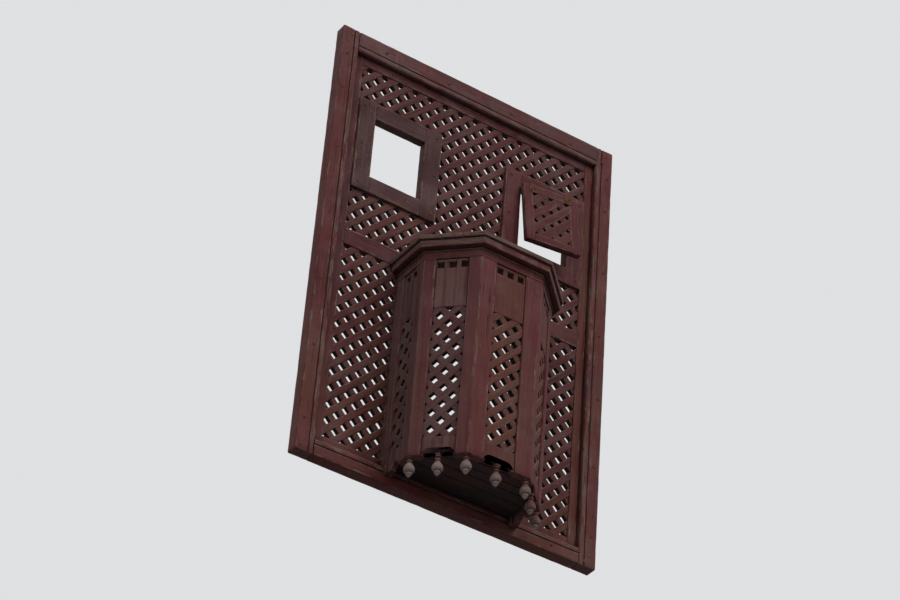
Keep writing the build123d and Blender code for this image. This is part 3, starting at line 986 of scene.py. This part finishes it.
# Boards between the posts: scalloped below, pierced above
BOARD_SETBACK = 0.004
BOARD_THICKNESS = 0.020
ARCH_RADIUS = 0.019
ARCH_TOOTH = 0.012
ARCH_STEPS = 10
PEEP_HOLE = 0.022
PEEP_PITCH = 0.037
PEEP_DROP = 0.021
PEEP_MARGIN = 0.002
PIERCED_PARTS = 8
LEAST_PART = 0.0008


def bay_aprons():
    low, _, size = box_of("bay_aprons")
    shape = Shape()
    for place, clear in BAY_SIDES:
        arches = max(1, int(clear / (2 * ARCH_RADIUS + ARCH_TOOTH)))
        outline = [Vector((-clear / 2, size.z)), Vector((-clear / 2, 0))]
        for k in range(arches):
            x = (k - (arches - 1) / 2) * clear / arches
            for step in range(ARCH_STEPS + 1):
                angle = pi - pi * step / ARCH_STEPS
                outline.append(Vector((x + ARCH_RADIUS * cos(angle), ARCH_RADIUS * sin(angle))))
        outline += [Vector((clear / 2, 0)), Vector((clear / 2, size.z))]
        board(shape, place @ standing((0, BOARD_SETBACK, low.z)), outline, BOARD_THICKNESS)
    shape.piece("scalloped_bay_aprons", PAINT["bay apron"], "bay_aprons")


def pierced_board(shape, place, width, height, thickness, holes):
    """An upright board with square holes as (x0, x1, z0, z1), all its arrises softened."""
    offset = own_grain()

    def lines(low, high, edges):
        made = {low, low + ARRIS, low + SUPPORT, high - SUPPORT, high - ARRIS, high}
        for first, last in edges:
            made |= {first - ARRIS, first, last, last + ARRIS}
        made |= {low + (high - low) * k / PIERCED_PARTS for k in range(1, PIERCED_PARTS)}
        kept = []
        for line in sorted(made):
            in_hole = any(first < line < last for first, last in edges)
            if not in_hole and (not kept or line - kept[-1] > LEAST_PART):
                kept.append(line)
        return kept

    across = lines(-width / 2, width / 2, [hole[:2] for hole in holes])
    up = lines(0, height, [holes[0][2:]])

    def solid(i, j):
        if not (0 <= i < len(across) - 1 and 0 <= j < len(up) - 1):
            return False
        x, z = (across[i] + across[i + 1]) / 2, (up[j] + up[j + 1]) / 2
        return not any(x0 < x < x1 and z0 < z < z1 for x0, x1, z0, z1 in holes)

    front, back = {}, {}
    for i, x in enumerate(across):
        for j, z in enumerate(up):
            at_edge = not all(solid(i - a, j - b) for a in (0, 1) for b in (0, 1))
            soft = ARRIS if at_edge else 0
            for table, depth in ((front, soft), (back, thickness - soft)):
                wave = ripple((x, depth, z), BOARD_WAVES, offset) * FLAT_WEAR
                local = Vector((x, depth, z))
                moved = place @ (local + Vector((0, wave, 0)))
                table[i, j] = len(shape.points)
                shape.add(moved, local + offset, float(at_edge))
    for i in range(len(across) - 1):
        for j in range(len(up) - 1):
            if not solid(i, j):
                continue
            corners = ((i, j), (i + 1, j), (i + 1, j + 1), (i, j + 1))
            shape.faces.append(tuple(front[c] for c in corners))
            shape.faces.append(tuple(back[c] for c in reversed(corners)))
            beside = ((i, j - 1), (i + 1, j), (i, j + 1), (i - 1, j))
            for start, end, other in zip(corners, corners[1:] + corners[:1], beside):
                if not solid(*other):
                    shape.faces.append((front[start], back[start], back[end], front[end]))


def bay_top_boards():
    low, _, size = box_of("bay_top_boards")
    half, middle = PEEP_HOLE / 2, size.z - PEEP_DROP
    shape = Shape()
    for place, clear in BAY_SIDES:
        count = int((clear - PEEP_HOLE - 2 * PEEP_MARGIN) / PEEP_PITCH) + 1
        centres = [(k - (count - 1) / 2) * PEEP_PITCH for k in range(count)]
        holes = [(x - half, x + half, middle - half, middle + half) for x in centres]
        face = place @ standing((0, BOARD_SETBACK, low.z))
        pierced_board(shape, face, clear, size.z, BOARD_THICKNESS, holes)
    shape.piece("pierced_bay_top_boards", PAINT["bay board"], "bay_top_boards")


# Flat boards of the floor and roof, so many on each side of the shoulders
PLANKS = 3
PLANK_GAP = 0.0006
HAIR = 1e-5
FLOOR_NOTCH = 0.032


def half_width(y, depth, tail):
    """Half the width that a level board inside the plan has at y."""
    if y > BAY_ROOT_Y:
        return tail
    shoulder, front = corner_inside(4, depth), corner_inside(3, depth)
    if y >= shoulder.y:
        return shoulder.x
    share = (shoulder.y - y) / (shoulder.y - front.y)
    return shoulder.x + (front.x - shoulder.x) * share


def planked(node, kind, depth, tail):
    """Boards laid side by side along the wall, cut to the plan of the bay."""
    low, high, size = box_of(node)
    shoulder, front = corner_inside(4, depth).y, corner_inside(3, depth).y
    joints = [high.y]
    if high.y > BAY_ROOT_Y:
        joints.append(BAY_ROOT_Y)
    shares = [k / PLANKS for k in range(1, PLANKS + 1)]
    joints += [shoulder + (joints[-1] - shoulder) * (1 - share) for share in shares]
    joints += [shoulder + (front - shoulder) * k / PLANKS for k in range(1, PLANKS + 1)]
    shape = Shape()
    for y0, y1 in zip(joints, joints[1:]):
        w0, w1 = half_width(y0 - HAIR, depth, tail), half_width(y1 + HAIR, depth, tail)
        y0, y1 = y0 - PLANK_GAP, y1 + PLANK_GAP
        outline = [Vector(p) for p in ((-w0, y0), (w0, y0), (w1, y1), (-w1, y1))]
        board(shape, flat_at(low.z), outline, size.z, lengthwise=True)
    shape.piece(f"planked_{node}", PAINT[kind], node)


# Cornice: how far its core stays inside, and its place in the grain
CORE_INSET = 0.004
CORE_GAP = 0.001
CORNICE_GRAIN = Vector((3.3, 1.2, 5.4))


def cornice_profile(reach, tall):
    """Band, bed bead, flat underside and fascia, as (distance out, height, relief)."""
    # Negative relief under the bead and the fascia darkens the paint there as painted shade
    return (
        (-0.020, 0.0, 0), (-0.0004, 0.0, 1), (0.0006, 0.001, 1), (0.0006, 0.005, 0),
        (0.0006, 0.014, 0), (0.0006, 0.022, 0.1), (0.0012, 0.0232, -0.8), (0.004, 0.0242, 1),
        (0.0052, 0.0264, 1), (0.0042, 0.0284, 0), (0.0044, 0.0292, -1), (0.012, 0.030, -0.3),
        (reach - 0.004, 0.0305, 0), (reach - 0.001, 0.031, 1), (reach, 0.0326, 1),
        (reach, tall - 0.002, 1), (reach - 0.002, tall, 1), (-0.020, tall, 0),
    )


def bay_cornice():
    low, high, size = box_of("bay_cornice")
    profile = cornice_profile(high.x - BAY_X, size.z)
    shape = Shape()
    rings = []
    distance = 0.0
    for i, corner in enumerate(PLAN):
        last = min(i + 1, len(PLAN) - 1)
        length = (PLAN[last] - corner).length
        count = max(1, round(length / STATION_STEP))
        for k in range(count):
            ring = []
            for out, z, relief in profile:
                local = Vector((out, z, distance + length * k / count)) + CORNICE_GRAIN
                lump = ripple((out, z, local.z), CORNICE_LUMPS)
                wave = ripple((out, z, local.z), CORNICE_WAVES)
                out = out + wave * FLAT_WEAR - max(0.0, relief) * max(0.0, lump) * EDGE_WEAR
                p = corner_inside(i, -out).lerp(corner_inside(last, -out), k / count)
                ring.append((Vector((p.x, p.y, low.z + z)), local, relief))
            rings.append(ring)
        distance += length
    shape.skin(rings)
    core = [corner_inside(i, CORE_INSET) for i in range(len(PLAN))]
    board(shape, flat_at(low.z + CORE_GAP), core, size.z - 2 * CORE_GAP, lengthwise=True)
    shape.piece("moulded_bay_cornice", PAINT["bay cornice"], "bay_cornice", smooth=30)


# A turned drop, as (distance down, radius, relief); negative relief paints shade in its necks
DROP = (
    (0.000, 0.0090, 1), (0.003, 0.0092, 1), (0.0045, 0.0064, -1), (0.010, 0.0062, -0.5),
    (0.0115, 0.0088, 1), (0.0145, 0.0088, 1), (0.016, 0.0070, -1), (0.022, 0.0088, 0),
    (0.029, 0.0135, 0), (0.035, 0.0163, 0.5), (0.040, 0.0170, 1), (0.045, 0.0160, 0.6),
    (0.049, 0.0128, 0), (0.0515, 0.0092, -1), (0.0535, 0.0100, 1), (0.056, 0.0098, 1),
    (0.058, 0.0076, 0), (0.062, 0.0056, 0.3), (0.066, 0.0022, 1),
)
DROP_SIDES = 28


def bay_drops():
    corners = [corner_inside(i, BAY_WALL / 2) for i in range(1, 5)]
    middles = [(PLAN[i] + PLAN[i + 1]) / 2 + INWARD[i] * (BAY_WALL / 2) for i in (1, 2, 3)]
    for node, places in (("bay_corner_drops", corners), ("bay_middle_drops", middles)):
        shape = Shape()
        for p in places:
            lathe(shape, axes((p.x, p.y, APRON_Z), RIGHT, OUT, DOWN), DROP, DROP_SIDES)
        shape.piece(f"turned_{node}", PAINT["drop"], node)


# Nails in the stiles by height, in the rails by distance from the middle, and in the hatches
STILE_NAILS = (0.09, 0.33, 0.58, 0.83, 1.08, 1.33, 1.46)
RAIL_NAILS = (-0.36, -0.12, 0.12, 0.36)
NAIL_INSET = 0.02
NAIL_END = 0.025
NAIL_ASIDE, RAIL_NAIL_ASIDE, NAIL_ALONG = 0.003, 0.004, 0.01


def nails():
    shape = Shape()
    left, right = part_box("stile_left"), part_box("stile_right")
    front = left[0].y
    for x in (left[0].x + NAIL_INSET, right[1].x - NAIL_INSET):
        for z in STILE_NAILS:
            nail(shape, standing((x + stray(NAIL_ASIDE), front, z + stray(NAIL_ALONG))))
    for node in ("head_rail", "bottom_rail"):
        low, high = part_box(node)
        for x in RAIL_NAILS:
            z = (low.z + high.z) / 2 + stray(RAIL_NAIL_ASIDE)
            nail(shape, standing((x + stray(NAIL_ALONG), front, z)))
    for side in ("left", "right"):
        low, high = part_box(f"hatch_stiles_{side}")
        for x in (low.x + NAIL_INSET, high.x - NAIL_INSET):
            for z in (low.z + NAIL_END, (low.z + high.z) / 2, high.z - NAIL_END):
                nail(shape, standing((x, low.y, z)))
    shape.piece("nails", IRON, slot="iron")


# Two pegs through each tenon, as (distance from the stile's middle, share of the rail's height)
TENON_PEGS = ((-0.009, 0.3), (0.005, 0.7))


def pegs():
    """Ends of the pegs that hold the tenons of the outer frame."""
    shape = Shape()
    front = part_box("stile_left")[0].y
    for stile in ("stile_left", "stile_right"):
        stile_low, stile_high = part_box(stile)
        middle = (stile_low.x + stile_high.x) / 2
        for rail in ("head_rail", "bottom_rail"):
            low, _, size = box_of(rail)
            for across, share in TENON_PEGS:
                radius = PEG_RADIUS * random.uniform(*PEG_SPREAD)
                place = standing((middle + across, front, low.z + size.z * share))
                round_head(shape, place, radius, PEG_END, PEG_SIDES)
    shape.piece("frame_pegs", PAINT["frame"], slot="frame_paint", smooth=30)


outer_frame()
inner_frame()
wall_lattices()
hatches()
flap()
hinges()
bay_posts()
bay_lattices()
bay_aprons()
bay_top_boards()
planked("bay_floor", "bay floor in painted shade", BAY_WALL, BAY_X - FLOOR_NOTCH)
planked("bay_roof", "bay roof", BAY_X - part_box("bay_roof")[1].x, 0)
bay_cornice()
bay_drops()
nails()
pegs()

# Studio: a pale floor at street level, a pale surround, and soft lamps from above
STREET_LEVEL = -8.6
FLOOR_REACH = 30
FLOOR_SEEN, FLOOR_AS_LIGHT = (0.735, 0.742, 0.75, 1), (0.08, 0.08, 0.08, 1)
SURROUND_SEEN, SURROUND_AS_LIGHT = (0.74, 0.75, 0.76, 1), (0.95, 0.98, 1.0, 1)
SURROUND_STRENGTH = 0.42
LAMPS = (
    ("key", 1.9, 32, (-0.45, 0.95, -1.05)),
    ("fill", 1.2, 70, (0.9, 1.0, -0.1)),
    ("back fill", 1.7, 70, (-0.3, -1.0, -0.5)),
)


def studio():
    mesh = bpy.data.meshes.new("floor")
    far = FLOOR_REACH
    mesh.from_pydata([(-far, -far, 0), (far, -far, 0), (far, far, 0), (-far, far, 0)], [],
                     [(0, 1, 2, 3)])
    pale = Finish(bpy.data.materials.new("floor"), FLOOR_AS_LIGHT)
    pale.coat(FLOOR_SEEN, pale.seen())
    mesh.materials.append(pale.finish(Roughness=0.9))
    floor = linked("floor", mesh)
    floor.location.z = STREET_LEVEL
    floor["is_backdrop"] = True

    world = bpy.data.worlds.new("studio")
    bpy.context.scene.world = world
    sky = Finish(world)
    sky.nodes.clear()
    light = sky.node("ShaderNodeBackground", {}, SURROUND_AS_LIGHT, SURROUND_STRENGTH)
    shown = sky.node("ShaderNodeBackground", {}, SURROUND_SEEN, 1.0)
    surface = sky.node("ShaderNodeMixShader", {}, sky.seen(), light, shown)
    sky.feed(sky.nodes.new("ShaderNodeOutputWorld").inputs["Surface"], surface)

    for name, strength, spread, towards in LAMPS:
        lamp = bpy.data.lights.new(name, "SUN")
        lamp.energy = strength
        lamp.angle = radians(spread)
        holder = linked(name, lamp)
        holder.rotation_mode = "QUATERNION"
        holder.rotation_quaternion = Vector(towards).to_track_quat("-Z", "Y")


# Where the photograph was taken from, and how much of the picture the screen fills
CAMERA_PLACE = Vector((-3.683, -6.10, -4.473))
CAMERA_UP = Vector((-0.286, -0.322, 0.902))
PICTURE_FILL = 0.92
PICTURE_ASPECT = 900 / 600
AIM_ROUNDS = 6
VIEW_REACH = 100
FITTED = ("aged_stile_left", "aged_stile_right", "aged_head_rail", "aged_bottom_rail")


def camera():
    """Looks from where the photograph was taken, with a lens that fills the picture."""
    low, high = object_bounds()
    corners = [Vector(c) for piece in bpy.data.objects if piece.name in FITTED
               for c in piece.bound_box]
    aim = ((low + high) / 2 - CAMERA_PLACE).normalized()
    for _ in range(AIM_ROUNDS):
        right = aim.cross(CAMERA_UP).normalized()
        up = right.cross(aim)
        rays = [corner - CAMERA_PLACE for corner in corners]
        xs = [ray.dot(right) / ray.dot(aim) for ray in rays]
        ys = [ray.dot(up) / ray.dot(aim) for ray in rays]
        width, height = max(xs) - min(xs), max(ys) - min(ys)
        aim = (aim + right * (min(xs) + width / 2) + up * (max(ys) - height / 2)).normalized()
    data = bpy.data.cameras.new("camera")
    data.lens = data.sensor_width * PICTURE_FILL / max(width, height * PICTURE_ASPECT)
    data.clip_end = VIEW_REACH
    holder = linked("camera", data)
    holder.matrix_world = axes(CAMERA_PLACE, right, up, -aim)
    bpy.context.scene.camera = holder


studio()
camera()
bpy.context.scene.view_settings.view_transform = "Standard"
